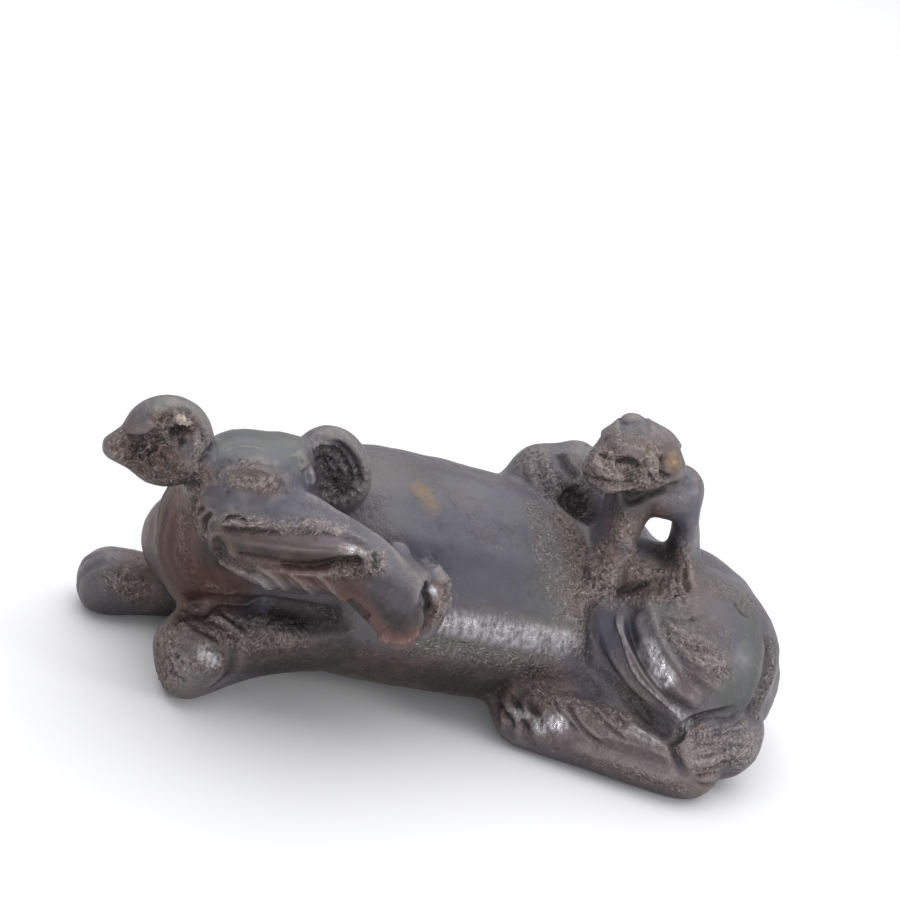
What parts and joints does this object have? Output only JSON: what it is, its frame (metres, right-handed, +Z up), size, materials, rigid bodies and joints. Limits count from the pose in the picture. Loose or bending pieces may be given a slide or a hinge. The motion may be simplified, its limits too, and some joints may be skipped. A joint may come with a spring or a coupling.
{
  "type": "copper paperweight",
  "caption": "Small cast copper animal lying down with its head turned back and a cub on its back, used as a paperweight.",
  "frame": {"origin": "middle of the bounding box on the flat underside", "axes": "+X from head to rump, -Y the side the head is turned to, +Z up"},
  "size_m": [0.076, 0.0346, 0.0353],
  "materials": {
    "copper": "dark patinated cast copper, handled smooth, with worn golden spots and pale dirt in the hollows"
  },
  "bodies": {
    "root": {"paperweight": "copper"}
  },
  "joints": []
}
